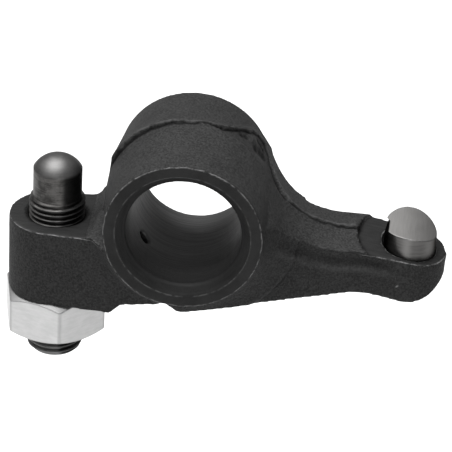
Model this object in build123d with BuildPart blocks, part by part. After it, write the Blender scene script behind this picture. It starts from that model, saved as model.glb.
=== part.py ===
from build123d import *
from math import acos, asin, atan2, cos, degrees, hypot, radians, sin, sqrt, tan
import os

# Rocker arm for a push-rod engine, in millimetres.
# X runs along the arm, from the adjusting screw (-X) to the contact pad (+X).
# Y is the axis of the shaft bore. Z is up, along the adjusting screw.
# The origin is on the bore axis, half way along the bore.

# ---- shaft boss ----
bore_dia = 20.0
bore_chamfer = 1.75
boss_width = 27.6
boss_face_dia = 27.4

# ---- forging dies: they meet in the plane y = 0, and each half tapers away from it ----
front_draft = 5.0             # degrees
rear_draft = 6.0              # degrees
back_draft = 11.3             # degrees, the back of the pad arm on the front side
die_shift_up = 0.5            # how the rear die sat against the front one
die_shift_along = 0.55        # towards the adjusting end
rough_skin = 1.2              # forged skin above the faces that are milled

# ---- adjusting end ----
adjuster_reach = 23.4         # bore axis to screw axis
eye_radius = 7.9
eye_offset = 0.45             # the eye's centre lies this far beyond the screw and to its front
flare_angle = 32.0            # degrees off the bore axis, the boss flares into this arm
front_spread = 4.5            # degrees, the front side opens towards the boss
rear_half_width = 6.5         # rear side beside the screw
rear_spread = 9.7             # degrees
seat_top = -4.8               # spot face that the screw stands out of
seat_bottom = -19.2           # face that the lock nut is drawn against
seat_length = 12.0            # how far the nut's face runs from the screw towards the boss
heel_drop = 18.1              # forged underside beside the nut's face
waist_drop = 17.0             # forged underside where the keel starts
hollow_radius = 3.0           # between the spot face and the boss
hollow_flank_angle = 7.0      # degrees, the milled flank of the boss off the vertical
hollow_flank_reach = 14.75    # bore axis to that flank

# ---- pad arm ----
saddle_radius = 13.5          # hollow of the arm's back between boss and pad
saddle_floor = -3.0
flank_length = 5.6            # straight flank between the boss and the saddle
web_half_width = 7.4          # beside the boss
tip_half_width = 5.6          # where the sides run into the rounded tip
tip_centre_x = 39.7
nose_centre_x = 38.9          # rounding of the tip seen from the side
nose_radius = 6.85
nose_drop = 7.45              # centre of that rounding below the bore axis
keel_start = -3.9             # the underside steps down here, under the boss
keel_x = -0.9                 # lowest corner of the keel
keel_drop = 19.7
keel_radius = 2.5
neck_x = 30.8
neck_drop = 12.7
neck_radius = 10.0
shoulder_drop = 2.0           # side of the arm below the floor of the saddle
shoulder_reach = 24.5         # the edge of that side falls from the boss to here

# ---- pad end ----
pad_reach = 38.85             # bore axis to contact pad axis
pad_face_height = -5.2        # height of the machined face at the pad axis
pad_face_fall = 8.5           # degrees, the face drops towards the tip
pad_face_lean = 6.0           # degrees, the face drops towards the front
spot_radius = 9.4             # cutter that faced the pad end

# ---- contact pad insert ----
insert_dia = 9.2
insert_lean = 1.5             # degrees towards the boss
insert_depth = 4.5            # how deep it is pressed in
pocket_chamfer = 0.35
crown_radius = 11.0
crown_offset = 1.3            # crest of the crown, from the pad axis towards the boss
crown_lean = 8.8              # degrees, the crown drops towards the front
crown_height = 4.2            # crest above the machined face
relief_width = 0.9            # steep flat ground on the boss side of the crown
relief_height = 2.6

# ---- adjusting screw, M10 x 1 ----
thread_dia = 10.0
thread_pitch = 1.0
thread_clearance = 0.05       # radial, between the screw and its holes
screw_end_dia = 8.6           # plain end that carries the ball
ball_radius = 5.0
plain_length = 5.15           # cylinder between ball and lead
thread_lead = 0.7
thread_stand = 3.0            # thread showing above the spot face
screw_length = 38.9
socket_flats = 5.0            # hexagon socket in the lower end
socket_depth = 3.5
countersink_dia = 11.2

# ---- lock nut, M10 x 1 ----
nut_flats = 17.0
nut_height = 8.15
nut_face_dia = 16.2
nut_chamfer_angle = 30.0
nut_turn = 42.6               # degrees, where the nut came to rest
nut_countersink_dia = 10.8

# ---- oil drilling ----
oil_dia = 2.4
oil_y = -3.75
oil_angle = -130.5            # where it opens in the bore, degrees from +X
oil_end_y = 0.0               # where it meets the tapped hole
oil_end_z = -11.5

# ---- worked-out sizes ----
boss_half = boss_width / 2
boss_radius = boss_face_dia / 2 + boss_half * tan(radians(front_draft))
adjuster_x = -adjuster_reach
seat_end_x = adjuster_x + seat_length
eye_x = adjuster_x - eye_offset
eye_end_x = eye_x - eye_radius - rough_skin
adjuster_length = keel_start - adjuster_x
front_half_width = eye_radius + eye_offset
keel_angle = degrees(atan2(-keel_start, waist_drop))
front_root = front_half_width + adjuster_length * tan(radians(front_spread))
rear_root = rear_half_width + adjuster_length * tan(radians(rear_spread))
nose_end_x = nose_centre_x + nose_radius
neck_run = nose_centre_x - neck_x
neck_rise = neck_drop - nose_drop
nose_sweep = 90 + degrees(asin(nose_radius / hypot(neck_run, neck_rise)) - atan2(neck_rise, neck_run))
saddle_z = saddle_floor + saddle_radius
flank_sum = boss_radius + saddle_radius
saddle_x = sqrt(flank_sum**2 + flank_length**2 - saddle_z**2)
flank_angle = degrees(atan2(saddle_z, saddle_x) + atan2(flank_length, flank_sum))
flank_start = (boss_radius * cos(radians(flank_angle)), boss_radius * sin(radians(flank_angle)))
hole_radius = thread_dia / 2
screw_radius = hole_radius - thread_clearance
plain_bottom = seat_top + thread_stand + thread_lead
ball_rim = plain_bottom + plain_length
ball_centre = ball_rim - sqrt(ball_radius**2 - (screw_end_dia / 2) ** 2)
screw_apex = ball_centre + ball_radius
ball_angle = degrees(acos(screw_end_dia / 2 / ball_radius))
screw_bottom = screw_apex - screw_length
tip_chamfer = 0.9 * thread_pitch
nut_bottom = seat_bottom - nut_height
through = 80.0                # longer than any cut through the part has to be

fall = tan(radians(pad_face_fall))
lean = tan(radians(pad_face_lean))
tilt = tan(radians(insert_lean))
pad_origin = (pad_reach, 0, pad_face_height)
pad_plane = Plane(origin=pad_origin, x_dir=(1, 0, -fall), z_dir=(fall, -lean, 1))
insert_plane = Plane(origin=pad_origin, x_dir=(1, 0, tilt), z_dir=(-tilt, 0, 1))
screw_plane = Plane(origin=(adjuster_x, 0, 0))
bore_plane = Plane(origin=(0, 0, 0), x_dir=(1, 0, 0), z_dir=(0, 1, 0))
blend_plane = Plane(origin=(0, 0, 0), x_dir=(0, 0, 1), z_dir=(-1, 0, 0))

os.makedirs("parts", exist_ok=True)


# ---- outlines of the forging where the dies meet, seen from the front ----
def boss_outline():
    """Round outline of the boss."""
    with BuildSketch(Plane.XZ) as outline:
        Circle(boss_radius)
    return outline.sketch


def adjuster_outline():
    """Outline of the adjusting arm, from the eye to the bore axis."""
    rough_top = seat_top + rough_skin
    rough_seat = seat_bottom - rough_skin
    heel_step = -heel_drop - seat_bottom
    with BuildSketch(Plane.XZ) as outline:
        with BuildLine():
            Polyline(
                (eye_end_x, rough_top),
                (0, rough_top),
                (0, -waist_drop),
                (keel_start, -waist_drop),
                (seat_end_x + heel_step, -heel_drop),
                (seat_end_x - rough_skin, rough_seat),
                (eye_end_x, rough_seat),
                close=True,
            )
        make_face()
    return outline.sketch


def underside():
    """Nose, neck and keel of the pad arm, added to the outline being drawn."""
    nose = CenterArc((nose_centre_x, -nose_drop), nose_radius, 0, -nose_sweep)
    under = FilletPolyline(
        nose @ 1,
        (neck_x, -neck_drop),
        (keel_x, -keel_drop),
        (keel_start, -waist_drop),
        radius=[neck_radius, keel_radius],
    )
    return nose @ 0, under @ 1


def web_outline():
    """Outline of the pad arm: off the boss, down its flank into the saddle, out to the tip."""
    with BuildSketch(Plane.XZ) as outline:
        with BuildLine():
            saddle = CenterArc((saddle_x, saddle_z), saddle_radius, flank_angle + 180, 90 - flank_angle)
            nose_start, keel_end = underside()
            Polyline(saddle @ 1, (nose_end_x, saddle_floor), nose_start)
            Polyline(keel_end, (keel_start, 0), flank_start, saddle @ 0)
        make_face()
    return outline.sketch


def shoulder_outline():
    """Outline of the pad arm's upright side, below its back."""
    shoulder = saddle_floor - shoulder_drop
    with BuildSketch(Plane.XZ) as outline:
        with BuildLine():
            nose_start, keel_end = underside()
            edge = (shoulder_reach, shoulder)
            Polyline(keel_end, (keel_start, 0), edge, (nose_end_x, shoulder), nose_start)
        make_face()
    return outline.sketch


def blend_profile(half_width):
    """Section above the bore: the boss and its hollow blend into an arm of this half-width."""
    blend = boss_half - half_width
    blend_x = boss_face_dia / 2 + blend
    with BuildSketch(blend_plane) as profile:
        with BuildLine():
            front = CenterArc((blend_x, -boss_half), blend, 90, 90)
            back = CenterArc((blend_x, boss_half), blend, 180, 90)
            Line(front @ 0, back @ 1)
            Polyline(front @ 1, (0, -boss_half), (0, boss_half), back @ 0)
        make_face()
    return profile.sketch


def flare_profile(half_width):
    """Section above the bore: the boss and its straight flare into an arm of this half-width."""
    flare_x = boss_face_dia / 2 + (boss_half - half_width) * tan(radians(flare_angle))
    with BuildSketch(blend_plane) as profile:
        Polygon(
            (0, -boss_half),
            (boss_face_dia / 2, -boss_half),
            (flare_x, -half_width),
            (flare_x, half_width),
            (boss_face_dia / 2, boss_half),
            (0, boss_half),
            align=None,
        )
    return profile.sketch


# ---- the forging: arms in two drafted halves, held to their widths, and the boss ----
rear_die = Location((-die_shift_along, 0, die_shift_up))

with BuildPart() as front_arms:
    extrude(adjuster_outline(), amount=boss_half, taper=front_draft)
    extrude(web_outline(), amount=boss_half, taper=back_draft)
    extrude(shoulder_outline(), amount=boss_half, taper=front_draft)

with BuildPart() as rear_arms:
    extrude(adjuster_outline(), amount=-boss_half, taper=front_draft)
    extrude(web_outline(), amount=-boss_half, taper=rear_draft)

with BuildPart() as widths:
    revolve(blend_profile(web_half_width), axis=Axis.Y, revolution_arc=180 + keel_angle)
    revolve(flare_profile(front_half_width), axis=-Axis.Y, revolution_arc=180 - keel_angle)
    with BuildSketch(Plane.XY.offset(-through / 2)):
        with Locations((eye_x, -eye_offset)):
            Circle(eye_radius)
        with BuildLine():
            Polyline(
                (adjuster_x, -front_half_width),
                (keel_start, -front_root),
                (keel_start, rear_root),
                (adjuster_x, rear_half_width),
                close=True,
            )
        make_face()
        with BuildLine():
            tip = CenterArc((tip_centre_x, 0), tip_half_width, -90, 180)
            Polyline(tip @ 1, (keel_start, web_half_width), (keel_start, -web_half_width), tip @ 0)
        make_face()
    extrude(amount=through)

with BuildPart() as rear_boss:
    extrude(boss_outline(), amount=-boss_half, taper=rear_draft)

with BuildPart() as forging:
    add(front_arms.part)
    add(rear_arms.part.moved(rear_die))
    add(widths.part, mode=Mode.INTERSECT)
    extrude(boss_outline(), amount=boss_half, taper=front_draft)
    add(rear_boss.part.moved(rear_die))


# ---- machining: turned and drilled cuts ----
def turned_cut(profile_points):
    """Closed half profile, radius against height, for a cut turned about its plane's z."""
    with BuildSketch(Plane.XZ) as profile:
        Polygon(*profile_points, align=None)
    with BuildPart() as cut:
        revolve(profile.sketch, axis=Axis.Z)
    return cut.part


bore_face_radius = bore_dia / 2 + bore_chamfer
bore_cut = turned_cut([
    (0, -boss_half),
    (bore_face_radius, -boss_half),
    (bore_dia / 2, -boss_half + bore_chamfer),
    (bore_dia / 2, boss_half - bore_chamfer),
    (bore_face_radius, boss_half),
    (0, boss_half),
])

countersink = (countersink_dia - thread_dia) / 2
tapped_cut = turned_cut([
    (0, seat_bottom),
    (hole_radius + countersink, seat_bottom),
    (hole_radius, seat_bottom + countersink),
    (hole_radius, seat_top - countersink),
    (hole_radius + countersink, seat_top),
    (0, seat_top),
])

insert_radius = insert_dia / 2
pocket_rim = insert_radius + pocket_chamfer
pocket_cut = turned_cut([
    (0, -insert_depth),
    (insert_radius, -insert_depth),
    (insert_radius, -pocket_chamfer),
    (pocket_rim, 0),
    (pocket_rim, insert_radius),
    (0, insert_radius),
])

oil_start = Vector(
    (bore_dia / 2 - oil_dia) * cos(radians(oil_angle)),
    oil_y,
    (bore_dia / 2 - oil_dia) * sin(radians(oil_angle)),
)
oil_end = Vector(adjuster_x + hole_radius - oil_dia / 2, oil_end_y, oil_end_z)
oil_plane = Plane(origin=oil_start, z_dir=oil_end - oil_start)

flank_lean = radians(hollow_flank_angle)
flank_foot_x = -(hollow_flank_reach - seat_top * sin(flank_lean)) / cos(flank_lean)
flank_top_z = hollow_flank_reach
flank_top_x = -(hollow_flank_reach - flank_top_z * sin(flank_lean)) / cos(flank_lean)

with BuildPart() as rocker_arm:
    add(forging.part)
    # milled across: the face round the screw, the hollow beside the boss and its flank
    with BuildSketch(Plane.XZ.offset(-through / 2)):
        with BuildLine():
            milled = FilletPolyline(
                (eye_end_x, seat_top),
                (flank_foot_x, seat_top),
                (flank_top_x, flank_top_z),
                radius=hollow_radius,
            )
            Polyline(milled @ 1, (eye_end_x, flank_top_z), milled @ 0)
        make_face()
    extrude(amount=through, mode=Mode.SUBTRACT)
    # milled across below: the face that the nut is drawn against
    with BuildSketch(Plane.XZ.offset(-through / 2)):
        with Locations((keel_start, seat_bottom)):
            Rectangle(through, through, align=(Align.MAX, Align.MAX))
    extrude(amount=through, mode=Mode.SUBTRACT)
    # face of the pad end and the pocket for the insert
    with BuildSketch(pad_plane):
        Circle(spot_radius)
    extrude(amount=through, mode=Mode.SUBTRACT)
    add(insert_plane * pocket_cut, mode=Mode.SUBTRACT)
    # shaft bore, tapped hole and the oil drilling between them
    add(bore_plane * bore_cut, mode=Mode.SUBTRACT)
    add(screw_plane * tapped_cut, mode=Mode.SUBTRACT)
    with BuildSketch(oil_plane):
        Circle(oil_dia / 2)
    extrude(amount=(oil_end - oil_start).length, mode=Mode.SUBTRACT)
rocker_arm.part.label = "rocker_arm"

# ---- contact pad insert: a plug with a crowned end ----
crown_plane = Plane(
    origin=(pad_reach - crown_offset, 0, pad_face_height + crown_height - crown_radius),
    x_dir=(1, 0, 0),
    z_dir=(0, 1, tan(radians(crown_lean))),
)
relief_plane = Plane(origin=insert_plane.origin, x_dir=insert_plane.x_dir, z_dir=-insert_plane.y_dir)

with BuildPart() as contact_pad:
    with BuildSketch(insert_plane.offset(-insert_depth)):
        Circle(insert_radius)
    extrude(amount=insert_depth + crown_height + insert_radius)
    with BuildSketch(crown_plane):
        Circle(crown_radius)
    extrude(amount=insert_dia, both=True, mode=Mode.INTERSECT)
    # steep flat ground on the boss side
    with BuildSketch(relief_plane):
        Polygon(
            (-insert_radius, crown_height - relief_height),
            (-insert_radius + relief_width, crown_height),
            (-insert_radius, crown_height),
            align=None,
        )
    extrude(amount=insert_dia, both=True, mode=Mode.SUBTRACT)
contact_pad.part.label = "contact_pad"

# ---- adjusting screw ----
with BuildPart() as adjusting_screw:
    with BuildSketch(Plane.XZ) as screw_profile:
        with BuildLine():
            ball = CenterArc((0, ball_centre), ball_radius, 90, ball_angle - 90)
            Polyline(
                ball @ 1,
                (screw_end_dia / 2, plain_bottom),
                (screw_radius, plain_bottom - thread_lead),
                (screw_radius, screw_bottom + tip_chamfer),
                (screw_radius - tip_chamfer, screw_bottom),
                (0, screw_bottom),
                ball @ 0,
            )
        make_face()
    revolve(axis=Axis.Z)
    with BuildSketch(Plane.XY.offset(screw_bottom)):
        RegularPolygon(socket_flats / 2, 6, major_radius=False)
    extrude(amount=socket_depth, mode=Mode.SUBTRACT)
adjusting_screw.part.locate(Location((adjuster_x, 0, 0)))
adjusting_screw.part.label = "adjusting_screw"

# ---- lock nut, both faces chamfered ----
nut_corner = nut_flats / 2 / cos(radians(30))
nut_face_radius = nut_face_dia / 2
nut_chamfer = (nut_corner - nut_face_radius) * tan(radians(nut_chamfer_angle))
nut_sink = (nut_countersink_dia - thread_dia) / 2
nut_turning = turned_cut([
    (hole_radius + nut_sink, nut_bottom),
    (nut_face_radius, nut_bottom),
    (nut_corner, nut_bottom + nut_chamfer),
    (nut_corner, seat_bottom - nut_chamfer),
    (nut_face_radius, seat_bottom),
    (hole_radius + nut_sink, seat_bottom),
    (hole_radius, seat_bottom - nut_sink),
    (hole_radius, nut_bottom + nut_sink),
])

with BuildPart() as lock_nut:
    with BuildSketch(Plane.XY.offset(nut_bottom)):
        RegularPolygon(nut_corner, 6, rotation=nut_turn)
    extrude(amount=nut_height)
    add(nut_turning, mode=Mode.INTERSECT)
lock_nut.part.locate(Location((adjuster_x, 0, 0)))
lock_nut.part.label = "lock_nut"

for piece in (rocker_arm, contact_pad, adjusting_screw, lock_nut):
    export_step(piece.part, f"parts/{piece.part.label}.step")
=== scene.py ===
"""Forged rocker arm with its adjusting screw, lock nut and contact pad.

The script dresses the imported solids: it gives the forging its grained skin and
ragged flash line, cuts the fine thread of the screw, softens the edges of the
nut and the pad, lays on the finishes and sets up a plain pale studio. X runs
from the screw to the pad, Y along the bore and Z up. Lengths in the classes are
millimetres and angles are degrees, and meshes are metres.
"""

import logging
import math
from dataclasses import dataclass
from enum import Enum

import bmesh
import bpy
import numpy as np
from mathutils import Matrix, Vector


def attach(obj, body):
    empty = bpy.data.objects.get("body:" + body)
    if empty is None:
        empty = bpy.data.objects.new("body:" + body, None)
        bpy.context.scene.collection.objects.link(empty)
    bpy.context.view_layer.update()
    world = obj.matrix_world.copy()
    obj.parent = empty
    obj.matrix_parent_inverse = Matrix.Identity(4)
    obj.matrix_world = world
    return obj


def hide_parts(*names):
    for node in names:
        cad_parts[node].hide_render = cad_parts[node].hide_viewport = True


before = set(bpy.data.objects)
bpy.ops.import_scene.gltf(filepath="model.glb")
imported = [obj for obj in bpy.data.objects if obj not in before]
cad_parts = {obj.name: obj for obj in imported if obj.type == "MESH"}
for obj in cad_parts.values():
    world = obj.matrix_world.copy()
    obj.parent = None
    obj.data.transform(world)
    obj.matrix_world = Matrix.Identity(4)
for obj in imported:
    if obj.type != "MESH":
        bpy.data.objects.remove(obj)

Array = np.ndarray
Piece = bpy.types.Object
Material = bpy.types.Material
Span = tuple[float, float]
Triple = tuple[float, float, float]
Colour = tuple[float, float, float, float]
Curve = tuple[tuple, tuple]
Mark = tuple[Triple, float]

LOG = logging.getLogger("rocker_arm")
MM = 0.001

SCREW_X = -23.4  # axis of the screw and its nut
PAD_X = 38.85  # axis of the contact pad
RING_FACE = 13.8  # end faces of the boss
FLAT_HEIGHT = -4.8  # flat that the screw comes out of
SEAT_HEIGHT = -19.2  # face that the nut sits on
PAD_HEIGHT = -5.2  # face round the pad, at the pad's axis
PAD_FALL = 8.5  # how far that face drops towards the tip
PAD_LEAN = 6.0  # and how far towards the front
PAD_SLOPE = Vector((math.tan(math.radians(PAD_FALL)), -math.tan(math.radians(PAD_LEAN)), 1.0))
PAD_NORMAL = tuple(PAD_SLOPE.normalized())
PAD_PLANE = Vector(PAD_NORMAL).dot((PAD_X, 0.0, PAD_HEIGHT))


class Body(Enum):
    """Rigid bodies that the pieces ride on."""

    ARM = "arm"
    SCREW = "screw"
    NUT = "nut"


class Slot(Enum):
    """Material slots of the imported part."""

    FORGING = "forging"
    INSERT = "hard_insert"
    SCREW = "screw_steel"
    NUT = "nut_zinc"


# ---- shapes in numbers


def smooth_step(low: float, high: float, x: Array) -> Array:
    """Rises from 0 to 1 between two limits along 3t^2 - 2t^3, with t the share of the way."""
    t = np.clip((x - low) / (high - low), 0.0, 1.0)
    return t * t * (3.0 - 2.0 * t)


def soft_min(a: Array, b: Array, width: float) -> Array:
    """Smaller of two values, rounded where they meet: (a + b - sqrt((a - b)^2 + width^2)) / 2."""
    return 0.5 * (a + b - np.sqrt((a - b) ** 2 + width * width))


def hump(distance: Array, width: float) -> Array:
    """A smooth hump: exp(-(distance / width)^2)."""
    return np.exp(-((distance / width) ** 2))


def spot(points: Array, centre: Triple, reach: float) -> Array:
    """A round hump about a place: exp(-(distance / reach)^2)."""
    return np.exp(-np.sum((points - np.array(centre)) ** 2, axis=1) / reach**2)


def value_noise(points: Array, cell: float, seed: int) -> Array:
    """Smooth noise between -1 and 1 on a lattice of hashed values.

    Each point takes the eight values at the corners of its cell, weighted by the
    smooth step of its place in the cell along each axis.

    Args:
        points: Rows of x, y, z.
        cell: Lattice spacing in the same unit.
        seed: Chooses the lattice.

    Returns:
        One value for each point.
    """
    scaled = points / cell
    base = np.floor(scaled).astype(np.int64)
    part = scaled - base
    part = part * part * (3.0 - 2.0 * part)
    total = np.zeros(len(points))
    for corner in range(8):
        step = np.array([corner & 1, corner >> 1 & 1, corner >> 2 & 1])
        x, y, z = (base + step).T
        mixed = x * 374761393 + y * 668265263 + z * 2147483647 + seed * 974711
        mixed = (mixed ^ (mixed >> 13)) * 1274126177 & 0xFFFFFFFF
        mixed = mixed ^ (mixed >> 16)
        weight = np.prod(np.where(step == 1, part, 1.0 - part), axis=1)
        total += weight * ((mixed & 0xFFFF) / 32767.5 - 1.0)
    return total


def fractal_noise(points: Array, cell: float, octaves: int, seed: int) -> Array:
    """Sum of value noises, each at half the spacing and half the strength of the last."""
    layers = [value_noise(points, cell / 2**i, seed + i) / 2**i for i in range(octaves)]
    return np.sum(layers, axis=0) / (2.0 - 2.0 ** (1 - octaves))


def ring_quads(rows: int, columns: int) -> Array:
    """Faces of a grid whose columns close into a ring.

    Args:
        rows: Points along the profile.
        columns: Points round the axis.

    Returns:
        Rows of four point numbers.
    """
    row, column = np.meshgrid(np.arange(rows - 1), np.arange(columns), indexing="ij")
    following = (column + 1) % columns
    a = row * columns + column
    b = row * columns + following
    return np.stack([a, b, b + columns, a + columns], axis=-1).reshape(-1, 4)


def turned(radius: Array, height: Array, centre_x: float) -> Array:
    """Points (centre_x + r cos a, r sin a, z) of a surface turned about an upright axis."""
    angle = np.linspace(0.0, 2.0 * np.pi, radius.shape[1], endpoint=False)
    return np.stack([centre_x + radius * np.cos(angle), radius * np.sin(angle), height], axis=-1)


# ---- meshes


def mesh_object(name: str, points: Array, faces: list, smooth: bool = True) -> Piece:
    """Puts computed points and faces into a new object at the origin.

    Args:
        name: Name of the piece.
        points: Rows of x, y, z in millimetres.
        faces: The point numbers of each face.
        smooth: Whether the faces are shaded smooth.

    Returns:
        The linked object.
    """
    mesh = bpy.data.meshes.new(name)
    mesh.from_pydata((points * MM).tolist(), [], faces)
    mesh.polygons.foreach_set("use_smooth", np.full(len(mesh.polygons), smooth))
    mesh.update()
    piece = bpy.data.objects.new(name, mesh)
    bpy.context.scene.collection.objects.link(piece)
    return piece


def closed_turning(name: str, radius: Array, height: Array, centre_x: float) -> Piece:
    """Builds a turned surface and closes each end by a fan about a point on the axis.

    Args:
        name: Name of the piece.
        radius: Radius for each row and column.
        height: Height for each row and column, from the low end to the high end.
        centre_x: Where the axis stands.

    Returns:
        The linked object.
    """
    rows, columns = radius.shape
    poles = np.array([[centre_x, 0.0, height[0].mean()], [centre_x, 0.0, height[-1].mean()]])
    points = np.concatenate([turned(radius, height, centre_x).reshape(-1, 3), poles])
    column = np.arange(columns)
    following = (column + 1) % columns
    last = (rows - 1) * columns
    low_fan = np.stack([np.full(columns, rows * columns), following, column], axis=-1)
    high_fan = [np.full(columns, rows * columns + 1), last + column, last + following]
    high_fan = np.stack(high_fan, axis=-1)
    faces = ring_quads(rows, columns).tolist() + low_fan.tolist() + high_fan.tolist()
    return mesh_object(name, points, faces)


def put_attributes(piece: Piece, masks: dict[str, Array]) -> None:
    """Stores masks on a mesh, one number for each vertex.

    Args:
        piece: Object that takes the attributes.
        masks: Values for each vertex, by the attribute's name.
    """
    for name, values in masks.items():
        layer = piece.data.attributes.new(name, "FLOAT", "POINT")
        layer.data.foreach_set("value", values.astype(np.float32))


def bake_modifiers(piece: Piece) -> None:
    """Replaces a piece's mesh by what its modifiers make of it."""
    graph = bpy.context.evaluated_depsgraph_get()
    baked = bpy.data.meshes.new_from_object(piece.evaluated_get(graph))
    piece.modifiers.clear()
    piece.data = baked


def weld(piece: Piece, distance: float = 0.01) -> None:
    """Merges points that lie on each other and turns the faces outwards."""
    work = bmesh.new()
    work.from_mesh(piece.data)
    bmesh.ops.remove_doubles(work, verts=work.verts, dist=distance * MM)
    bmesh.ops.recalc_face_normals(work, faces=work.faces)
    work.to_mesh(piece.data)
    work.free()


def evened_copy(node: str, name: str, voxel: float, passes: int) -> Piece:
    """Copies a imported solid, gives it an even mesh and rounds its edges.

    Args:
        node: Name of the solid.
        name: Name of the new piece.
        voxel: Size of the even mesh's cells.
        passes: How often each vertex moves half way to its neighbours.

    Returns:
        The linked object.
    """
    piece = bpy.data.objects.new(name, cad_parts[node].data.copy())
    bpy.context.scene.collection.objects.link(piece)
    weld(piece)
    remesh = piece.modifiers.new("even", "REMESH")
    remesh.mode = "VOXEL"
    remesh.voxel_size = voxel * MM
    bake_modifiers(piece)
    relax = piece.modifiers.new("relax", "SMOOTH")
    relax.factor = 0.5
    relax.iterations = passes
    bake_modifiers(piece)
    piece.data.polygons.foreach_set("use_smooth", np.full(len(piece.data.polygons), True))
    return piece


def points_of(piece: Piece) -> Array:
    """Places of a piece's vertices in millimetres."""
    flat = np.empty(len(piece.data.vertices) * 3)
    piece.data.vertices.foreach_get("co", flat)
    return flat.reshape(-1, 3) / MM


def normals_of(piece: Piece) -> Array:
    """Normals of a piece's vertices."""
    flat = np.empty(len(piece.data.vertices) * 3)
    piece.data.vertices.foreach_get("normal", flat)
    return flat.reshape(-1, 3)


def move_points(piece: Piece, points: Array) -> None:
    """Puts a piece's vertices at new places, given in millimetres."""
    piece.data.vertices.foreach_set("co", (points * MM).ravel())
    piece.data.update()


def neighbour_mean(piece: Piece, values: Array) -> Array:
    """Mean of each vertex's neighbours along its edges.

    Args:
        piece: Object whose edges are followed.
        values: One row for each vertex.

    Returns:
        One row for each vertex.
    """
    pairs = np.empty(len(piece.data.edges) * 2, dtype=np.int32)
    piece.data.edges.foreach_get("vertices", pairs)
    a, b = pairs.reshape(-1, 2).T
    ends, others = np.concatenate([a, b]), np.concatenate([b, a])
    count = np.bincount(ends, minlength=len(values))
    sums = [np.bincount(ends, weights=column[others], minlength=len(values)) for column in values.T]
    return np.stack(sums, axis=-1) / count[:, None]


def bulge(piece: Piece, voxel: float) -> Array:
    """How far each vertex stands out from its neighbours' mean, as a share of a mesh cell."""
    points = points_of(piece)
    return np.sum((points - neighbour_mean(piece, points)) * normals_of(piece), axis=1) / voxel


def dress(piece: Piece, material: Material) -> None:
    """Gives a piece one material."""
    piece.data.materials.clear()
    piece.data.materials.append(material)


# ---- shader maths


@dataclass
class Reading:
    """A socket that Python expressions can be written on."""

    graph: "Graph"
    socket: bpy.types.NodeSocket

    def _math(self, operation: str, *values: object) -> "Reading":
        """Adds one Math node that works on these values."""
        return self.graph.node("ShaderNodeMath", {"operation": operation}, dict(enumerate(values)))

    def __add__(self, other: object) -> "Reading":
        """Sum."""
        return self._math("ADD", self, other)

    def __radd__(self, other: object) -> "Reading":
        """Sum, with this reading on the right."""
        return self._math("ADD", other, self)

    def __sub__(self, other: object) -> "Reading":
        """Difference."""
        return self._math("SUBTRACT", self, other)

    def __rsub__(self, other: object) -> "Reading":
        """Difference, with this reading on the right."""
        return self._math("SUBTRACT", other, self)

    def __mul__(self, other: object) -> "Reading":
        """Product."""
        return self._math("MULTIPLY", self, other)

    def __rmul__(self, other: object) -> "Reading":
        """Product, with this reading on the right."""
        return self._math("MULTIPLY", other, self)

    def high(self, other: object) -> "Reading":
        """Larger of two."""
        return self._math("MAXIMUM", self, other)

    def near(self, middle: float, width: float) -> "Reading":
        """A smooth hump: 1 at the middle, 0 a width away on either side."""
        return 1.0 - self._math("ABSOLUTE", self - middle).ramp(0.0, width)

    def clamp(self) -> "Reading":
        """Held between 0 and 1."""
        return self.graph.node("ShaderNodeClamp", {}, {"Value": self})

    def ramp(self, low: float, high: float) -> "Reading":
        """Rises smoothly from 0 to 1 between two limits."""
        inputs = {"Value": self, "From Min": low, "From Max": high}
        return self.graph.node("ShaderNodeMapRange", {"interpolation_type": "SMOOTHSTEP"}, inputs)


@dataclass(frozen=True)
class Grain:
    """Recipe of a noise: cells per metre, octaves, strength of the finer ones, stretch of the axes."""

    scale: float
    detail: float
    roughness: float = 0.5
    stretch: Triple | None = None


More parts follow.
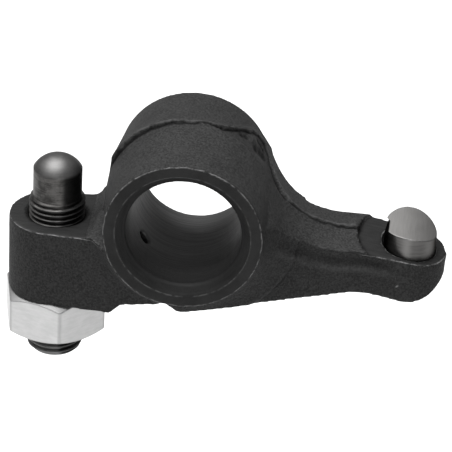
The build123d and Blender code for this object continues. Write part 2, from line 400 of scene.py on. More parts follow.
class Graph:
    """Node tree of one material."""

    def __init__(self, name: str) -> None:
        """Starts an empty material of this name."""
        self.material = bpy.data.materials.new(name)
        self.material.use_nodes = True
        self.tree = self.material.node_tree
        self.tree.nodes.clear()

    def node(self, kind: str, settings: dict, inputs: dict, output: int | str = 0) -> Reading:
        """Adds any node: its settings first, then its sockets.

        Args:
            kind: Type of the node.
            settings: Attributes of the node.
            inputs: Values or readings, by the name or number of the socket.
            output: Name or number of the socket that is returned.

        Returns:
            A reading of the chosen output.
        """
        made = self.tree.nodes.new(kind)
        for key, value in settings.items():
            setattr(made, key, value)
        for key, value in inputs.items():
            if isinstance(value, Reading):
                self.tree.links.new(value.socket, made.inputs[key])
            else:
                made.inputs[key].default_value = value
        return Reading(self, made.outputs[output])

    def place(self) -> Reading:
        """Object coordinates."""
        return self.node("ShaderNodeTexCoord", {}, {}, "Object")

    def stretched(self, scale: Triple) -> Reading:
        """Object coordinates, scaled along each axis."""
        return self.node("ShaderNodeMapping", {}, {"Vector": self.place(), "Scale": scale})

    def noise(self, grain: Grain) -> Reading:
        """Noise over the object, 0 to 1.

        Args:
            grain: Its recipe.

        Returns:
            The noise's factor.
        """
        vector = self.stretched(grain.stretch) if grain.stretch else self.place()
        inputs = {"Vector": vector, "Scale": grain.scale}
        inputs.update({"Detail": grain.detail, "Roughness": grain.roughness})
        return self.node("ShaderNodeTexNoise", {}, inputs)

    def attribute(self, name: str) -> Reading:
        """A number stored on the mesh."""
        return self.node("ShaderNodeAttribute", {"attribute_name": name}, {}, "Fac")

    def along(self, direction: Triple, offset: float = 0.0) -> Reading:
        """Distance along a direction in millimetres, less an offset."""
        inputs = {0: self.place(), 1: tuple(v / MM for v in direction)}
        return self.node("ShaderNodeVectorMath", {"operation": "DOT_PRODUCT"}, inputs, "Value") - offset

    def off_bore(self) -> Reading:
        """Distance from the axis of the bore in millimetres."""
        inputs = {0: self.stretched((1.0 / MM, 0.0, 1.0 / MM))}
        return self.node("ShaderNodeVectorMath", {"operation": "LENGTH"}, inputs, "Value")

    def mix(self, factor: Reading, low: Colour | Reading, high: Colour | Reading) -> Reading:
        """Mixes two colours."""
        return self.node("ShaderNodeMix", {"data_type": "RGBA"}, {0: factor, 6: low, 7: high}, 2)

    def bump(self, height: Reading, strength: float, distance: float) -> Reading:
        """Normal bent by a height, over a distance in metres."""
        inputs = {"Height": height, "Strength": strength, "Distance": distance}
        return self.node("ShaderNodeBump", {}, inputs)

    def shade(self, inputs: dict) -> Material:
        """Ends the tree with the shader and the output.

        Args:
            inputs: Values or readings for the shader's sockets.

        Returns:
            The material.
        """
        shader = self.node("ShaderNodeBsdfPrincipled", {}, inputs)
        made = self.tree.nodes.new("ShaderNodeOutputMaterial")
        self.tree.links.new(shader.socket, made.inputs["Surface"])
        return self.material


def grey(level: float, warmth: float = 0.0) -> Colour:
    """Neutral colour, a little warmer where warmth is above 0."""
    return (level * (1.0 + warmth), level, level * (1.0 - warmth), 1.0)


# ---- finishes


@dataclass(frozen=True)
class BlackForging:
    """Black phosphated skin of a die forging, with its milled faces in the same black."""

    dark: float = 0.007
    light: float = 0.024
    milled: float = 0.0105
    honed: float = 0.09
    # Tone of the lighter edges: partly wear, partly painted highlight.
    wear_and_highlight: float = 0.14
    # Tone of the painted highlight on the top of the flash burr.
    burr: float = 0.07
    # Near-black tone of the painted shade in hollows and of the painted shadow under the flash lip.
    painted_shade_tone: float = 0.002
    gloss: float = 0.12
    bore_metal: float = 0.45
    grit: Grain = Grain(2900.0, 4.0, 0.65)
    specks: Grain = Grain(4200.0, 2.0)
    flecks: Grain = Grain(2300.0, 3.0, 0.7, (1.6, 1.6, 0.5))
    clouds: Grain = Grain(170.0, 3.0)
    patches: Grain = Grain(900.0, 4.0, 0.7)
    pores: Grain = Grain(650.0, 3.0)
    cutter: Grain = Grain(260.0, 4.0, 0.65, (1.0, 9.0, 1.0))
    honing: Grain = Grain(160.0, 5.0, 0.7, (0.5, 14.0, 0.5))
    bore_edge: Span = (10.25, 10.5)
    mouth: Span = (-13.5, -2.0)
    chamfer_edge: Span = (12.4, 12.8)
    flat_end: Span = (-14.6, -14.2)
    pad_start: Span = (30.0, 31.0)
    line_depth: float = 0.12
    line_width: float = 0.09
    bump_depth: float = 0.0003

    def edge_lines(self, g: Graph) -> Reading:
        """Edges of the milled planes, as thin lines a little below each plane, where it is rounded; they
        are painted lighter, partly as wear and partly as the highlight of the rounded edge.

        Args:
            g: Graph to build in.

        Returns:
            A mask, 1 on the lines.
        """
        ring = g.along((0.0, -1.0, 0.0), RING_FACE).near(-self.line_depth, self.line_width)
        flat = g.along((0.0, 0.0, 1.0), FLAT_HEIGHT).near(-self.line_depth, self.line_width)
        pad = g.along(PAD_NORMAL, PAD_PLANE).near(-self.line_depth, self.line_width)
        across = g.along((1.0, 0.0, 0.0))
        lines = ring * (1.0 - 0.7 * (1.0 - g.off_bore().ramp(*self.chamfer_edge)))
        lines = lines.high(flat * (1.0 - across.ramp(*self.flat_end)))
        return lines.high(pad * across.ramp(*self.pad_start))

    def material(self) -> Material:
        """Builds the material. The flash line follows the stored distance from the parting line."""
        g = Graph("black_forging")
        fine, cloud, broken = g.noise(self.grit), g.noise(self.clouds), g.noise(self.patches)
        tone = (fine * 0.85 + cloud * 0.15).ramp(0.36, 0.64)
        skin = g.mix(tone, grey(self.dark), grey(self.light))
        skin = g.mix(g.noise(self.flecks).ramp(0.58, 0.72) * 0.45, skin, grey(self.light * 2.0))
        skin = g.mix(g.noise(self.specks).ramp(0.66, 0.8) * 0.5, skin, grey(self.light * 2.0))
        cut = g.attribute("milled").ramp(0.35, 0.65)
        streak = g.noise(self.cutter)
        machined = g.mix(streak.ramp(0.3, 0.7), grey(self.milled * 0.75), grey(self.milled * 1.3))
        bore = (1.0 - g.off_bore().ramp(*self.bore_edge)) * cut
        honing = g.noise(self.honing).ramp(0.3, 0.7)
        honed = g.mix(honing, grey(self.honed * 0.7), grey(self.honed * 1.2))
        # Painted shade: the honed bore darkens towards its front mouth.
        honed = g.mix(g.along((0.0, 1.0, 0.0)).ramp(*self.mouth), grey(self.honed * 0.22), honed)
        colour = g.mix(bore, g.mix(cut, skin, machined), honed)
        # Painted highlight: a lighter line along the ridge on the front of the long arm.
        ridge = g.attribute("ridge") * broken.ramp(0.2, 0.6)
        colour = g.mix(ridge * 0.5, colour, grey(self.light * 1.8))
        # Painted shade: the hollow mask darkens corners, gaps, the spot-face wall, the side hollow and
        # the pits.
        hollow = g.attribute("hollow").ramp(0.1, 0.9)
        colour = g.mix(hollow * 0.75, colour, grey(self.painted_shade_tone))
        seam = g.attribute("seam") + (broken - 0.5) * 0.35
        lip = g.attribute("lip")
        # Painted highlight: a lighter band along the top of the burr behind the flash line.
        rim = seam.near(0.42, 0.34) * lip * broken.ramp(0.3, 0.62)
        colour = g.mix(rim * 0.4, colour, grey(self.burr))
        # Painted shadow: a dark line on the front side of the flash line, where the lip would shade the
        # surface below it.
        painted_lip_shadow = seam.near(-0.1, 0.28) * lip * broken.ramp(0.12, 0.4)
        colour = g.mix(painted_lip_shadow, colour, grey(self.painted_shade_tone))
        # Convex edges and the edge lines are painted lighter: partly wear, partly painted highlight.
        rubbed = g.attribute("edge_wear_and_highlight") * broken.ramp(0.42, 0.6) * (1.0 - lip) * 0.5
        wear_and_highlight = self.edge_lines(g) * broken.ramp(0.36, 0.62) * (1.0 - hollow)
        wear_and_highlight = wear_and_highlight.high(rubbed).high(g.attribute("chip"))
        colour = g.mix(wear_and_highlight, colour, grey(self.wear_and_highlight))
        height = fine * 0.5 * (1.0 - 0.7 * cut) + streak * 0.15 * cut
        height = height + g.noise(self.pores) * 0.4 * (1.0 - cut)
        return g.shade({
            "Base Color": colour,
            "Roughness": 0.62 + 0.14 * cloud - 0.14 * cut - 0.15 * wear_and_highlight,
            "Metallic": bore * self.bore_metal,
            "Normal": g.bump(height, 0.9, self.bump_depth),
            "Specular IOR Level": self.gloss,
        })


@dataclass(frozen=True)
class GroundInsert:
    """Hard steel: a lapped crown on a darker ground side, with painted reflection bands on that side and
    painted shade on its side towards the boss.
    """

    crown: float = 0.15
    side: float = 0.07
    # Tone of the lighter edges: partly wear, partly painted highlight.
    edge: float = 0.2
    warmth: float = 0.02
    grazing: float = 0.15
    lapping: Grain = Grain(500.0, 3.0, 0.6, (6.0, 0.6, 0.6))
    clouds: Grain = Grain(300.0, 3.0)
    grinding: Grain = Grain(300.0, 3.0, 0.6, (0.6, 0.6, 7.0))
    broad: Grain = Grain(90.0, 1.0)
    # Places and widths along X of the painted reflection bands.
    painted_reflection_bands: tuple[Span, Span] = ((38.2, 1.4), (42.6, 2.0))
    boss_side: Span = (34.3, 35.6)
    bump_depth: float = 0.00004

    def material(self) -> Material:
        """Builds the material. The crown's mask is the face's upward lean, stored on the mesh."""
        g = Graph("ground_insert")
        crown = g.attribute("crown")
        lines, cloud = g.noise(self.lapping), g.noise(self.clouds)
        low, high = grey(self.crown * 0.85, self.warmth), grey(self.crown, self.warmth)
        lapped = g.mix((lines * 0.6 + cloud * 0.4).ramp(0.3, 0.7), low, high)
        rings, broad = g.noise(self.grinding), g.noise(self.broad)
        low, high = grey(self.side * 0.6, self.warmth), grey(self.side * 1.3, self.warmth)
        ground = g.mix((rings * 0.5 + broad * 0.5).ramp(0.35, 0.65), low, high)
        # Painted reflections: two lighter bands across the ground side.
        across = g.along((1.0, 0.0, 0.0))
        first, second = (across.near(*band) for band in self.painted_reflection_bands)
        painted_reflection = grey(self.side * 2.2, self.warmth)
        ground = g.mix((first + second).clamp() * 0.75, ground, painted_reflection)
        shaded = 1.0 - across.ramp(*self.boss_side)
        ground = g.mix(shaded, ground, grey(self.side * 0.1, self.warmth))
        colour = g.mix(crown, ground, lapped)
        # Convex edges painted lighter: partly wear, partly painted highlight.
        edge_wear_and_highlight = g.attribute("edge_wear_and_highlight") * cloud.ramp(0.3, 0.5)
        colour = g.mix(edge_wear_and_highlight * 0.6, colour, grey(self.edge))
        return g.shade({
            "Base Color": colour,
            "Roughness": 0.3 + 0.1 * cloud + 0.3 * crown,
            "Metallic": 1.0,
            "Normal": g.bump(lines * crown + rings * (1.0 - crown), 0.25, self.bump_depth),
            "Specular Tint": grey(self.grazing),
        })


@dataclass(frozen=True)
class DarkScrewSteel:
    """Hardened steel with a thin dark oxide, a little brighter where the ball end is rubbed."""

    tone: float = 0.06
    ball: float = 0.058
    warmth: float = 0.03
    clouds: Grain = Grain(420.0, 5.0, 0.7)
    turning: Grain = Grain(500.0, 5.0, 0.7, (0.5, 0.5, 8.0))
    ball_rise: Span = (3.6, 4.4)
    end_rise: Span = (-29.0, -27.0)
    dark_reflection_way: Triple = (0.89, -0.45, 0.0)
    dark_reflection_rise: Span = (2.9, 3.6)
    bump_depth: float = 0.00006

    def material(self) -> Material:
        """Builds the material: oxide, rubbed ball, a lighter lower end, a painted dark reflection down
        the right front, and the thread with painted highlights on its crests and painted shade in its
        roots.
        """
        g = Graph("dark_screw_steel")
        cloud, lines = g.noise(self.clouds), g.noise(self.turning)
        rubbed = g.along((0.0, 0.0, 1.0)).ramp(*self.ball_rise)
        mottle = (cloud * 0.6 + lines * 0.4).ramp(0.38, 0.62)
        low, high = grey(self.tone * 0.5, self.warmth), grey(self.tone * 1.6, self.warmth)
        oxide = g.mix(mottle, low, high)
        low, high = grey(self.ball * 0.65, self.warmth), grey(self.ball * 1.3, self.warmth)
        colour = g.mix(rubbed, oxide, g.mix(mottle, low, high))
        # Lighter towards the lower end.
        end = 1.0 - g.along((0.0, 0.0, 1.0)).ramp(*self.end_rise)
        colour = g.mix(end * 0.85, colour, grey(self.tone * 3.2))
        # Painted reflection: the right front of the screw is darkened where it would mirror something
        # dark.
        side = g.along(self.dark_reflection_way, SCREW_X * self.dark_reflection_way[0])
        painted_dark_reflection = (side + (cloud - 0.5) * 0.7).ramp(*self.dark_reflection_rise)
        colour = g.mix(painted_dark_reflection * (0.8 - 0.5 * rubbed), colour, grey(self.tone * 0.12))
        colour = g.mix(rubbed * 0.5, colour, grey(self.ball * 1.9))
        # Painted highlight on the thread's crests and painted shade in its roots.
        colour = g.mix(g.attribute("crest") * 0.6, colour, grey(self.ball * 1.6))
        root = g.attribute("root") * (0.8 - 0.45 * end)
        colour = g.mix(root, colour, grey(self.tone * 0.2))
        return g.shade({
            "Base Color": colour,
            "Roughness": 0.42 + 0.16 * cloud,
            "Metallic": 1.0,
            "Normal": g.bump(lines, 0.25, self.bump_depth),
        })


@dataclass(frozen=True)
class ZincPlate:
    """Bright zinc plate, darker on the chamfers, their rims and the six corners."""

    tone: float = 0.5
    metal: float = 0.55
    clouds: Grain = Grain(350.0, 4.0, 0.6)
    brushing: Grain = Grain(420.0, 4.0, 0.6, (1.0, 1.0, 5.0))
    pores: Grain = Grain(1400.0, 3.0)
    bump_depth: float = 0.0001

    def material(self) -> Material:
        """Builds the material."""
        g = Graph("zinc_plate")
        cloud, brushed = g.noise(self.clouds), g.noise(self.brushing)
        tone = (cloud * 0.5 + brushed * 0.5).ramp(0.3, 0.7)
        colour = g.mix(tone, grey(self.tone * 0.82), grey(self.tone))
        # Darker on the chamfers, their rims and the six corners.
        for mask, share, level in (("corner", 0.5, 0.4), ("chamfer", 0.95, 0.3), ("rim", 0.55, 0.25)):
            colour = g.mix(g.attribute(mask) * share, colour, grey(self.tone * level))
        return g.shade({
            "Base Color": colour,
            "Roughness": 0.38 + 0.16 * cloud,
            "Metallic": self.metal,
            "Normal": g.bump(g.noise(self.pores) * 0.5 + brushed * 0.5, 0.15, self.bump_depth),
        })


# ---- the pieces


@dataclass
class Screw:
    """Adjusting screw with a helical fine thread and a ball end."""

    crest: float = 4.95
    pitch: float = 1.0
    depth: float = 0.6
    plain_radius: float = 4.3
    plain_bottom: float = -1.1
    lead: float = 0.7
    ball_radius: float = 5.0
    ball_rim: float = 4.05
    bottom: float = -32.4
    tip_chamfer: float = 0.9
    socket_flats: float = 5.0
    socket_depth: float = 3.5
    drill_cone: float = 1.0
    columns: int = 96
    rows_per_pitch: int = 14
    plain_rows: int = 12
    ball_rows: int = 40

    def tooth(self, phase: Array) -> Array:
        """Share of the thread's depth over one pitch, 1 in the root at its middle, 0 on the crest."""
        return 1.0 - smooth_step(0.2, 0.9, np.abs(phase - 0.5) * 2.0)

    def ball_centre(self) -> float:
        """Height of the ball's centre: its rim less the side of the right triangle below it."""
        return self.ball_rim - math.sqrt(self.ball_radius**2 - self.plain_radius**2)

    def envelope(self, height: Array) -> Array:
        """Outer radius of the blank: the least of its chamfer, its shank and lead, and its ball.

        Args:
            height: Heights to work out.

        Returns:
            One radius for each height.
        """
        tip = self.crest - self.tip_chamfer + (height - self.bottom)
        lead_start = self.plain_bottom - self.lead
        slope = (self.crest - self.plain_radius) / self.lead
        shank = self.crest - np.clip(height - lead_start, 0.0, self.lead) * slope
        above = np.clip(height - self.ball_centre(), 0.0, self.ball_radius)
        ball = np.sqrt(np.maximum(self.ball_radius**2 - above**2, 0.0))
        return np.minimum(np.minimum(tip, shank), ball)

    def surface(self) -> Piece:
        """Turns and threads the blank.

        The radius at angle a and height z is the smaller of the blank's radius and
        crest - depth * tooth(z / pitch - a / 2 pi).

        Returns:
            The closed piece.
        """
        count = int((self.plain_bottom - self.bottom) / self.pitch * self.rows_per_pitch)
        threaded = np.linspace(self.bottom, self.plain_bottom, count)
        plain = np.linspace(self.plain_bottom, self.ball_rim, self.plain_rows)[1:]
        centre = self.ball_centre()
        start = math.asin((self.ball_rim - centre) / self.ball_radius)
        sweep = np.linspace(start, np.pi / 2, self.ball_rows)[1:-1]
        height = np.concatenate([threaded, plain, centre + self.ball_radius * np.sin(sweep)])
        height = np.repeat(height[:, None], self.columns, axis=1)
        angle = np.linspace(0.0, 2.0 * np.pi, self.columns, endpoint=False)
        phase = np.mod(height / self.pitch - angle[None, :] / (2.0 * np.pi), 1.0)
        radius = self.envelope(height)
        thread = np.minimum(radius, self.crest - self.depth * self.tooth(phase))
        radius[:count] = thread[:count]
        piece = closed_turning("screw_threaded", radius, height, SCREW_X)
        piece.data.vertices[-1].co.z = (centre + self.ball_radius) * MM
        return piece

    def cut_socket(self, piece: Piece) -> None:
        """Takes the key's hexagon out of the lower end: a six-sided prism with a drilled cone.

        Args:
            piece: Screw to cut.
        """
        corner = self.socket_flats / 2 / math.cos(math.radians(30.0))
        angle = np.arange(6) * np.pi / 3
        ring = np.stack([SCREW_X + corner * np.cos(angle), corner * np.sin(angle)], axis=-1)
        roof = self.bottom + self.socket_depth
        low = np.column_stack([ring, np.full(6, self.bottom - 1.0)])
        high = np.column_stack([ring, np.full(6, roof)])
        tip = np.array([[SCREW_X, 0.0, roof + self.drill_cone]])
        faces = [(k, (k + 1) % 6, (k + 1) % 6 + 6, k + 6) for k in range(6)]
        faces += [(k + 6, (k + 1) % 6 + 6, 12) for k in range(6)] + [tuple(range(5, -1, -1))]
        cutter = mesh_object("socket_cutter", np.concatenate([low, high, tip]), faces, smooth=False)
        modifier = piece.modifiers.new("socket", "BOOLEAN")
        modifier.object = cutter
        modifier.operation = "DIFFERENCE"
        bake_modifiers(piece)
        bpy.data.objects.remove(cutter)

    def build(self, material: Material) -> Piece:
        """Builds the screw and marks the thread's crests and roots.

        Args:
            material: Its finish.

        Returns:
            The finished piece.
        """
        piece = self.surface()
        self.cut_socket(piece)
        x, y, z = points_of(piece).T
        away = np.hypot(x - SCREW_X, y)
        cut = (z < self.plain_bottom - self.lead) & (z > self.bottom + self.tip_chamfer)
        root = 1.0 - smooth_step(self.crest - 0.5, self.crest - 0.2, away)
        put_attributes(piece, {
            "crest": smooth_step(self.crest - 0.12, self.crest - 0.02, away) * cut,
            "root": root * cut * (away > 4.0),
        })
        dress(piece, material)
        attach(piece, Body.SCREW.value)
        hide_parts("adjusting_screw")
        return piece


@dataclass
class Nut:
    """Hexagon lock nut, chamfered on both faces."""

    height: float = 8.15
    flats: float = 17.0
    face_radius: float = 8.1
    chamfer_angle: float = 30.0
    turn: float = 42.6
    hole_radius: float = 5.0
    sink_radius: float = 5.4
    softness: float = 0.12
    sharpness: int = 60
    columns: int = 360
    face_rows: int = 8

    def outer(self, angle: Array) -> Array:
        """Radius of the hexagon at an angle, with its corners rounded.

        It is the flat's distance over the p-norm of the direction cosines of the
        three pairs of flats, with p the sharpness.

        Args:
            angle: Angles round the axis, in radians.

        Returns:
            One radius for each angle.
        """
        turned_by = angle - math.radians(self.turn)
        cosines = [np.abs(np.cos(turned_by - math.radians(30.0 + 60.0 * k))) for k in range(3)]
        return self.flats / 2 / sum(c**self.sharpness for c in cosines) ** (1.0 / self.sharpness)

    def surface(self) -> Piece:
        """Turns the nut.

        The profile runs down the hole, out over the lower face, up the flats and in
        over the upper face. The wall's radius is the soft minimum of the hexagon and
        the chamfer cone, whose radius grows by 1 / tan(chamfer angle) per height.

        Returns:
            The closed piece.
        """
        angle = np.linspace(0.0, 2.0 * np.pi, self.columns, endpoint=False)
        half = self.height / 2
        fine = np.linspace(0.0, 1.7, 26)
        flat = np.linspace(-half + 1.9, half - 1.9, 10)
        wall = np.concatenate([-half + fine, flat, half - fine[::-1]])
        cone = self.face_radius + (half - np.abs(wall)) / math.tan(math.radians(self.chamfer_angle))
        wall_radius = soft_min(self.outer(angle)[None, :], cone[:, None], self.softness)
        rim = wall_radius[0] - self.softness * 0.6
        share = np.linspace(0.0, 1.0, self.face_rows)
        face = self.sink_radius + (rim[None, :] - self.sink_radius) * share[:, None]
        sink = self.sink_radius - self.hole_radius
        hole = np.full((3, self.columns), self.hole_radius)
        radius = np.concatenate([hole, face, wall_radius, face[::-1], hole[:1]])
        low, high = np.full(self.face_rows, -half), np.full(self.face_rows, half)
        lift = np.concatenate([[half - sink, 0.0, -half + sink], low, wall, high, [half - sink]])
        height = np.repeat(lift[:, None] + (SEAT_HEIGHT - half), self.columns, axis=1)
        faces = ring_quads(len(lift), self.columns).tolist()
        points = turned(radius, height, SCREW_X).reshape(-1, 3)
        piece = mesh_object("nut_hexagon", points, faces)
        weld(piece)
        return piece

    def build(self, material: Material) -> Piece:
        """Builds the nut and marks its chamfers, their rims and the six corners.

        Args:
            material: Its finish.

        Returns:
            The finished piece.
        """
        piece = self.surface()
        x, y, _ = points_of(piece).T
        angle = np.arctan2(y, x - SCREW_X) - math.radians(self.turn)
        off_corner = np.abs(np.mod(angle + np.pi / 6, np.pi / 3) - np.pi / 6)
        away = np.hypot(x - SCREW_X, y)
        lean = np.abs(normals_of(piece)[:, 2]) * (away > self.face_radius - 0.2)
        put_attributes(piece, {
            "chamfer": smooth_step(0.35, 0.7, lean) * (1.0 - smooth_step(0.9, 0.99, lean)),
            "rim": smooth_step(0.08, 0.2, lean) * (1.0 - smooth_step(0.3, 0.5, lean)),
            "corner": (1.0 - smooth_step(0.01, 0.05, off_corner)) * smooth_step(9.0, 9.4, away),
        })
        dress(piece, material)
        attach(piece, Body.NUT.value)
        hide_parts("lock_nut")
        return piece


@dataclass
class Forging:
    """The arm itself, with the skin and the flash line of a die forging.

    Angles are taken round the bore from +X. A curve is two rows: where its points lie
    and their values. A mark is a place and its reach.
    """

    voxel: float = 0.325
    passes: int = 2
    shift: Triple = (0.55, 0.0, 0.5)
    bore_radius: float = 10.4
    chamfer_radius: float = 12.3
    chamfer_start: float = 11.5
    plane_reach: float = 0.12
    skin_height: float = 0.03
    burr_start: float = 0.3
    burr_width: float = 1.3
    groove_depth: float = 0.08
    hollow_depth: float = 0.5
    ridge_height: float = 0.22
    ridge_width: float = 0.55
    pit_depth: float = 0.5
    pull_height: float = 0.4
    pull: Mark = ((10.6, 5.6, 9.8), 1.3)
    tip_burr: Mark = ((45.3, -0.5, -6.2), 1.1)
    curl_x: float = 29.2
    chip: Mark = ((37.22, -5.7, -10.49), 0.32)
    spot_radius: float = 9.4
    parting_depth: Curve = (
        (-4.0, 2.3, 9.9, 21.4, 25.0, 31.0, 39.0, 46.0, 54.9, 65.1, 75.7, 87.0),
        (0.0, 0.4, 1.9, 5.2, 7.6, 9.4, 9.2, 7.8, 5.2, 2.1, 0.6, 0.0),
    )
    burr_height: Curve = (
        (-6.0, 22.0, 32.0, 42.0, 50.0, 60.0, 80.0, 125.0, 140.0),
        (0.33, 0.3, 0.5, 0.6, 0.5, 0.22, 0.17, 0.2, 0.24),
    )
    ridge_line: Curve = (
        (15.0, 17.8, 21.4, 26.2, 30.8, 35.6, 40.0),
        (-3.6, -5.5, -7.2, -7.9, -7.6, -8.4, -9.6),
    )
    crease_line: Curve = (
        (15.0, 18.8, 23.6, 29.2, 32.5, 40.0),
        (1.5, -2.2, -4.9, -5.0, -5.2, -6.4),
    )
    pits: tuple[Mark, ...] = (
        ((11.8, 4.7, 8.1), 1.35), ((11.2, 3.8, 9.2), 1.0),
        ((12.4, 5.2, 7.1), 1.0), ((8.5, 3.6, 11.9), 0.65),
        ((9.2, 4.3, 11.2), 0.7), ((11.1, 7.4, 8.7), 0.65),
        ((11.6, 7.5, 7.9), 0.65), ((12.0, 7.2, 7.1), 0.6),
    )

    def parting(self, points: Array) -> Array:
        """Depth y of the parting line at each point.

        It runs half way through the arm, but over the right shoulder of the boss it
        bends back, along a curve through angle and depth.

        Args:
            points: Rows of x, y, z.

        Returns:
            One depth for each point.
        """
        turn = np.degrees(np.arctan2(points[:, 2], points[:, 0]))
        waves = 0.3 * value_noise(points, 2.2, 5) + 0.24 * value_noise(points, 0.9, 6)
        return np.interp(turn, *self.parting_depth) + waves

    def milled(self, points: Array) -> Array:
        """Tells the machined faces and the bore from the forged skin.

        Args:
            points: Rows of x, y, z.

        Returns:
            1 where a cutter went and 0 elsewhere.
        """
        x, y, z = points.T
        radius, deep = np.hypot(x, z), np.abs(y)
        bore = (radius < self.bore_radius) & (deep < RING_FACE - 0.02)
        chamfer = (radius < self.chamfer_radius) & (deep > self.chamfer_start)
        ring = deep > RING_FACE - self.plane_reach
        flat = np.abs(z - FLAT_HEIGHT) < self.plane_reach
        seat = np.abs(z - SEAT_HEIGHT) < self.plane_reach
        pad = (x > 28.0) & (np.abs(points @ np.array(PAD_NORMAL) - PAD_PLANE) < self.plane_reach)
        return (bore | chamfer | ring | (x < -12.0) & (flat | seat) | pad).astype(float)

    def shape_shoulder(self, piece: Piece, parting: Array) -> None:
        """Carries the front half's surface on to where the parting line bends back.

        Between the middle and the parting line the rear half's shift is taken back,
        less and less towards the rear, where the draft of the two halves evens out,
        and the old step is relaxed by averaging each vertex with its neighbours.

        Args:
            piece: Forging to change.
            parting: Depth of the parting line at each vertex.
        """
        points = points_of(piece)
        x, depth, z = points.T.copy()
        upper = (z > -2.0) & (x > 0.0) & (np.hypot(x, z) > 12.8)
        share = smooth_step(-0.1, 0.25, depth) * (1.0 - smooth_step(-0.12, 0.12, depth - parting))
        fade = 1.0 - 0.85 * np.clip(depth / 7.5, 0.0, 1.0)
        share = share * upper * smooth_step(0.3, 0.9, parting) * fade
        points = points - share[:, None] * np.array(self.shift)
        weight = (upper & (np.abs(depth) < 0.8) & (parting > 1.0)).astype(float)[:, None]
        for _ in range(10):
            points = points + weight * 0.7 * (neighbour_mean(piece, points) - points)
        move_points(piece, points)

    def lip_share(self, points: Array) -> Array:
        """Where the flash was left standing: over the boss and down the saddle.

        Args:
            points: Rows of x, y, z.

        Returns:
            1 on the line and 0 on the milled ends.
        """
        x, _, z = points.T
        over = smooth_step(-4.0, -3.0, z) * smooth_step(-14.6, -13.6, x)
        return over * (1.0 - smooth_step(29.1, 29.5, x)) * (np.hypot(x, z) > 12.5)

    def side_band(self, points: Array) -> tuple[Array, Array]:
        """Hollow and ridge along the front of the long arm, each a hump about its own line.

        Args:
            points: Rows of x, y, z.

        Returns:
            The share of the hollow and that of the ridge, 0 to 1.
        """
        x, y, z = points.T
        ridge, crease = np.interp(x, *self.ridge_line), np.interp(x, *self.crease_line)
        middle, half = 0.5 * (ridge + crease), 0.5 * np.maximum(crease - ridge, 1.0)
        side = (y < -3.0) * smooth_step(14.5, 18.0, x) * (1.0 - smooth_step(34.0, 38.0, x))
        return side * hump(z - middle, 0.8 * half), side * hump(z - ridge, self.ridge_width)

    def torn(self, points: Array) -> Array:
        """Pits where the flash tore out of the boss's right shoulder, as shares of their depth."""
        pits = np.max([spot(points, centre, reach) for centre, reach in self.pits], axis=0)
        return pits * (1.1 + 0.4 * fractal_noise(points, 0.9, 2, 9))

    def flash(self, points: Array, seam: Array) -> Array:
        """Height of the flash line: a groove on its front side and a burr that fades backwards.

        Args:
            points: Rows of x, y, z.
            seam: Distance of each point behind the parting line.

        Returns:
            One height for each point.
        """
        turn = np.degrees(np.arctan2(points[:, 2], points[:, 0]))
        ragged = np.clip(0.65 + 0.6 * fractal_noise(points, 1.7, 2, 8), 0.2, 1.1)
        fade = hump(np.maximum(seam - self.burr_start, 0.0), self.burr_width)
        burr = smooth_step(-0.12, self.burr_start, seam) * fade
        groove = hump(seam + 0.3, 0.25)
        return np.interp(turn, *self.burr_height) * ragged * burr - self.groove_depth * groove

    def relief(self, points: Array, seam: Array, milled: Array) -> Array:
        """Height of the skin, the flash, the torn corner and the side hollow along the normal.

        Args:
            points: Rows of x, y, z.
            seam: Distance of each point behind the parting line.
            milled: 1 on the machined faces.

        Returns:
            One height for each point.
        """
        x, y, z = points.T
        forged = 1.0 - milled
        skin = self.skin_height * fractal_noise(points, 2.4, 4, 21) * forged
        height = skin + self.lip_share(points) * forged * self.flash(points, seam)
        pulled = self.pull_height * spot(points, *self.pull) - self.pit_depth * self.torn(points)
        height = height + pulled * (np.hypot(x, z) > 13.0)
        hollow, ridge = self.side_band(points)
        height = height + forged * (self.ridge_height * ridge - self.hollow_depth * hollow)
        curl = hump(x - self.curl_x, 0.9) * smooth_step(0.0, 0.6, y) * (1.0 - smooth_step(2.0, 5.0, y))
        height = height + 0.3 * curl * (z > -4.2) * (z < 0.0) * forged
        ragged = 0.6 + 0.6 * fractal_noise(points, 0.7, 2, 12)
        return height + 0.3 * spot(points, *self.tip_burr) * ragged

    def shaded_hollows(self, points: Array, normals: Array, bend: Array) -> Array:
        """Places that are painted in shade: corners, gaps round the screw and pad, the wall of the spot
        face, the hollow along the long arm and the pits.

        Args:
            points: Rows of x, y, z.
            normals: Normal at each point.
            bend: Bulge at each point.

        Returns:
            A mask, 1 in the darkest places.
        """
        x, y, _ = points.T
        off_pad = np.hypot(x - PAD_X, y)
        gap = (np.hypot(x - SCREW_X, y) < 5.75) | (off_pad < 4.75) & (x > 33.0)
        wall = (np.abs(off_pad - self.spot_radius) < 0.3) & (x < 34.0)
        wall = wall & (points @ np.array(PAD_NORMAL) - PAD_PLANE > 0.25) & (normals[:, 0] > 0.4)
        band, _ = self.side_band(points)
        torn = smooth_step(0.2, 0.5, self.torn(points))
        return np.max((smooth_step(0.03, 0.14, -bend), gap * 1.0, wall * 0.8, 0.42 * band, torn), axis=0)

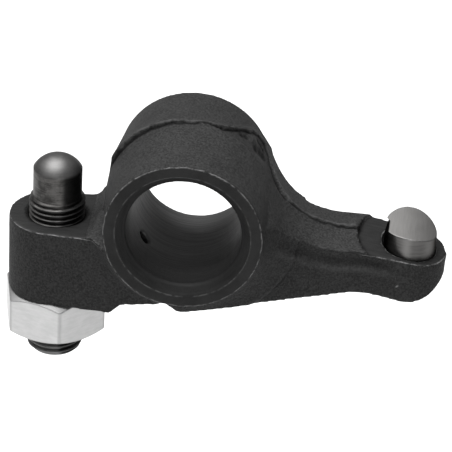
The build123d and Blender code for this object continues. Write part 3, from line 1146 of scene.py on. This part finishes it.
    def build(self, material: Material) -> Piece:
        """Builds the forging: an even mesh of the solid, with its skin and flash raised on it.

        Args:
            material: Its finish.

        Returns:
            The finished piece.
        """
        piece = evened_copy("rocker_arm", "forging_skin", self.voxel, self.passes)
        points = points_of(piece)
        milled = self.milled(points)
        self.shape_shoulder(piece, self.parting(points))
        points, normals, bend = points_of(piece), normals_of(piece), bulge(piece, self.voxel)
        seam = points[:, 1] - self.parting(points)
        move_points(piece, points + normals * self.relief(points, seam, milled)[:, None])
        put_attributes(piece, {
            "edge_wear_and_highlight": smooth_step(0.1, 0.2, bend),
            "hollow": self.shaded_hollows(points, normals, bend),
            "ridge": self.side_band(points)[1],
            "milled": milled,
            "seam": seam,
            "lip": self.lip_share(points) * (1.0 - milled),
            "chip": smooth_step(0.5, 0.8, spot(points, *self.chip)),
        })
        dress(piece, material)
        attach(piece, Body.ARM.value)
        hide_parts("rocker_arm")
        return piece


@dataclass
class Pad:
    """Contact pad insert."""

    voxel: float = 0.1
    passes: int = 6

    def build(self, material: Material) -> Piece:
        """Builds the insert: an even mesh of the solid, with its crown and edges marked.

        Args:
            material: Its finish.

        Returns:
            The finished piece.
        """
        piece = evened_copy("contact_pad", "pad_crowned", self.voxel, self.passes)
        put_attributes(piece, {
            "crown": smooth_step(0.5, 0.8, normals_of(piece)[:, 2]),
            "edge_wear_and_highlight": smooth_step(0.05, 0.12, bulge(piece, self.voxel)),
        })
        dress(piece, material)
        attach(piece, Body.ARM.value)
        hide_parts("contact_pad")
        return piece


# ---- the studio


@dataclass(frozen=True)
class Lamp:
    """Square area light that faces the part: its place, its side and its power in watts."""

    name: str
    place: Triple
    side: float
    power: float

    def build(self) -> None:
        """Adds the light."""
        data = bpy.data.lights.new(self.name, "AREA")
        data.size = self.side * MM
        data.energy = self.power
        light = bpy.data.objects.new(self.name, data)
        light.location = Vector(self.place) * MM
        light.rotation_mode = "QUATERNION"
        light.rotation_quaternion = (-light.location).to_track_quat("-Z", "Y")
        bpy.context.scene.collection.objects.link(light)


@dataclass
class Studio:
    """Floor, lights and camera."""

    azimuth: float = 3.43
    elevation: float = 29.97
    roll: float = 3.33
    distance: float = 432.63
    target: Triple = (6.50, 0.0, -4.79)
    focal_pixels: float = 2464.0
    frame_pixels: float = 452.0
    sensor: float = 36.0
    nearest: float = 10.0
    farthest: float = 20000.0
    floor_z: float = -75.0
    floor_side: float = 3000.0
    floor_tone: float = 0.68
    surroundings: float = 0.35
    lamps: tuple[Lamp, ...] = (
        Lamp("overhead", (-130.0, 10.0, 550.0), 460.0, 9.0),
        Lamp("front", (160.0, -520.0, 60.0), 300.0, 0.9),
    )

    def camera(self) -> None:
        """Places the camera at the view's angle and distance."""
        a, e, roll = (math.radians(v) for v in (self.azimuth, self.elevation, self.roll))
        back = Vector((math.sin(a) * math.cos(e), -math.cos(a) * math.cos(e), math.sin(e)))
        level = Vector((math.cos(a), math.sin(a), 0.0))
        up = back.cross(level)
        right = level * math.cos(roll) + up * math.sin(roll)
        upright = up * math.cos(roll) - level * math.sin(roll)
        place = Vector(self.target) + back * self.distance
        data = bpy.data.cameras.new("camera")
        data.sensor_width = self.sensor
        data.lens = self.focal_pixels / self.frame_pixels * self.sensor
        data.clip_start = self.nearest * MM
        data.clip_end = self.farthest * MM
        camera = bpy.data.objects.new("camera", data)
        turn = Matrix((right, upright, back)).transposed().to_4x4()
        camera.matrix_world = Matrix.Translation(place * MM) @ turn
        bpy.context.scene.collection.objects.link(camera)
        bpy.context.scene.camera = camera

    def floor(self) -> None:
        """Lays a wide pale floor well below the part."""
        signs = np.array([[-1.0, -1.0], [1.0, -1.0], [1.0, 1.0], [-1.0, 1.0]])
        corners = np.column_stack([signs * self.floor_side, np.full(4, self.floor_z)])
        floor = mesh_object("floor", corners, [[0, 1, 2, 3]], smooth=False)
        finish = {"Base Color": grey(self.floor_tone), "Roughness": 0.9, "Specular IOR Level": 0.1}
        dress(floor, Graph("floor_white").shade(finish))

    def lights(self) -> None:
        """Sets the lamps and the grey surroundings."""
        for lamp in self.lamps:
            lamp.build()
        world = bpy.data.worlds.new("studio")
        world.use_nodes = True
        background = world.node_tree.nodes["Background"]
        background.inputs[0].default_value = grey(1.0)
        background.inputs[1].default_value = self.surroundings
        bpy.context.scene.world = world
        bpy.context.scene.view_settings.view_transform = "Standard"


def main() -> None:
    """Builds the studio and the pieces in order."""
    logging.basicConfig(level=logging.INFO, format="%(name)s: %(message)s")
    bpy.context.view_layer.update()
    studio = Studio()
    studio.camera()
    studio.floor()
    studio.lights()
    pieces = (
        Forging().build(BlackForging().material()),
        Pad().build(GroundInsert().material()),
        Screw().build(DarkScrewSteel().material()),
        Nut().build(ZincPlate().material()),
    )
    for piece in pieces:
        LOG.info("%s: %d faces", piece.name, len(piece.data.polygons))
    bpy.context.view_layer.update()


if __name__ == "__main__":
    main()
